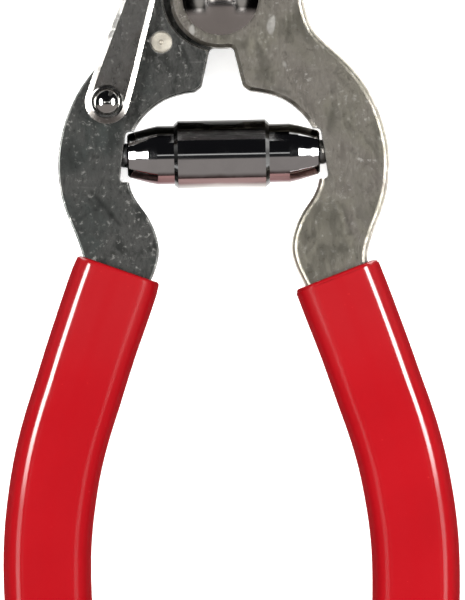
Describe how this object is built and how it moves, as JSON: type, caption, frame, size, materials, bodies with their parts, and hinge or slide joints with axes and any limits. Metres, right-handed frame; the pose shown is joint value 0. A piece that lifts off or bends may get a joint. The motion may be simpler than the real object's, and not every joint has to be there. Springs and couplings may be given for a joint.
{
  "type": "fencing pliers",
  "caption": "Magazine fencing pliers with half-lapped forged steel arms, red dipped grips, chrome spring barrel and a side link driving a ring feeder.",
  "frame": {"origin": "centre of the closed pivot nut's rear face, on the pivot axis", "axes": "+Z along the pivot axis from the nut to the domed bolt head, +Y towards the jaws, +X towards the right handle"},
  "size_m": [0.0914, 0.1907, 0.0649],
  "materials": {
    "arm_steel": "satin forged, mottled",
    "link_steel": "dark oxide with worn edges",
    "polished_steel": "polished",
    "barrel_chrome": "mirror",
    "zinc": "zinc plated",
    "spring_steel": "oiled",
    "grip_vinyl": "glossy dipped",
    "knob_plastic": "matte"
  },
  "bodies": {
    "right_side": {"right_arm": "arm_steel", "right_grip": "grip_vinyl", "pivot_bolt": "polished_steel", "pivot_washer": "zinc", "pivot_nut": "zinc", "right_spring_stud": "zinc", "guide_block": "link_steel", "guide_screws": "zinc", "magazine_box": "link_steel", "magazine_screws": "zinc", "magazine_cap": "link_steel"},
    "left_side": {"left_arm": "arm_steel", "left_grip": "grip_vinyl", "left_spring_stud": "zinc", "link_pivot_pin": "polished_steel", "stop_pin": "polished_steel", "link_spacer": "zinc"},
    "link": {"feed_link": "link_steel", "link_pin_rim": "polished_steel"},
    "feeder": {"feed_slide": "link_steel", "pusher_blade": "link_steel", "link_slide_pin": "polished_steel"},
    "right_cup": {"right_spring_cup": "barrel_chrome", "return_spring": "spring_steel"},
    "left_cup": {"left_spring_cup": "barrel_chrome"},
    "sleeve": {"spring_sleeve": "barrel_chrome"},
    "follower": {"magazine_follower": "knob_plastic", "follower_knob": "knob_plastic", "follower_spring": "spring_steel"}
  },
  "joints": [
    {"name": "handle_pivot", "type": "hinge", "parent": "right_side", "child": "left_side", "pos_m": [0, 0, 0.00865], "axis": [0, 0, 1], "range_deg": [0, 22.5], "stiffness_Nm_per_rad": 0.6},
    {"name": "feed_link_pivot", "type": "hinge", "parent": "left_side", "child": "link", "pos_m": [-0.02297, -0.02055, 0.01445], "axis": [0, 0, 1], "range_deg": [-6.2, 0]},
    {"name": "feed_slide_travel", "type": "slide", "parent": "right_side", "child": "feeder", "axis": [-0.1392, -0.9903, 0], "range_m": [0, 0.0058]},
    {"name": "right_cup_swivel", "type": "hinge", "parent": "right_side", "child": "right_cup", "pos_m": [0.0193, -0.0312, 0.00865], "axis": [0, 0, 1], "range_deg": [0, 11.4], "deforming": ["return_spring"]},
    {"name": "left_cup_slide", "type": "slide", "parent": "right_cup", "child": "left_cup", "axis": [1, 0, 0], "range_m": [0, 0.0131]},
    {"name": "sleeve_slide", "type": "slide", "parent": "right_cup", "child": "sleeve", "axis": [1, 0, 0], "range_m": [0, 0.0066]},
    {"name": "follower_travel", "type": "slide", "parent": "right_side", "child": "follower", "axis": [0, 0, 1], "range_m": [0, 0.032], "deforming": ["follower_spring"]}
  ],
  "couplings": [
    {"joint": "feed_link_pivot", "follows": "handle_pivot", "ratio": -0.236},
    {"joint": "feed_slide_travel", "follows": "handle_pivot", "m_per_rad": 0.01445},
    {"joint": "right_cup_swivel", "follows": "handle_pivot", "ratio": 0.5},
    {"joint": "left_cup_slide", "follows": "handle_pivot", "m_per_rad": 0.03289},
    {"joint": "sleeve_slide", "follows": "handle_pivot", "m_per_rad": 0.01644}
  ]
}
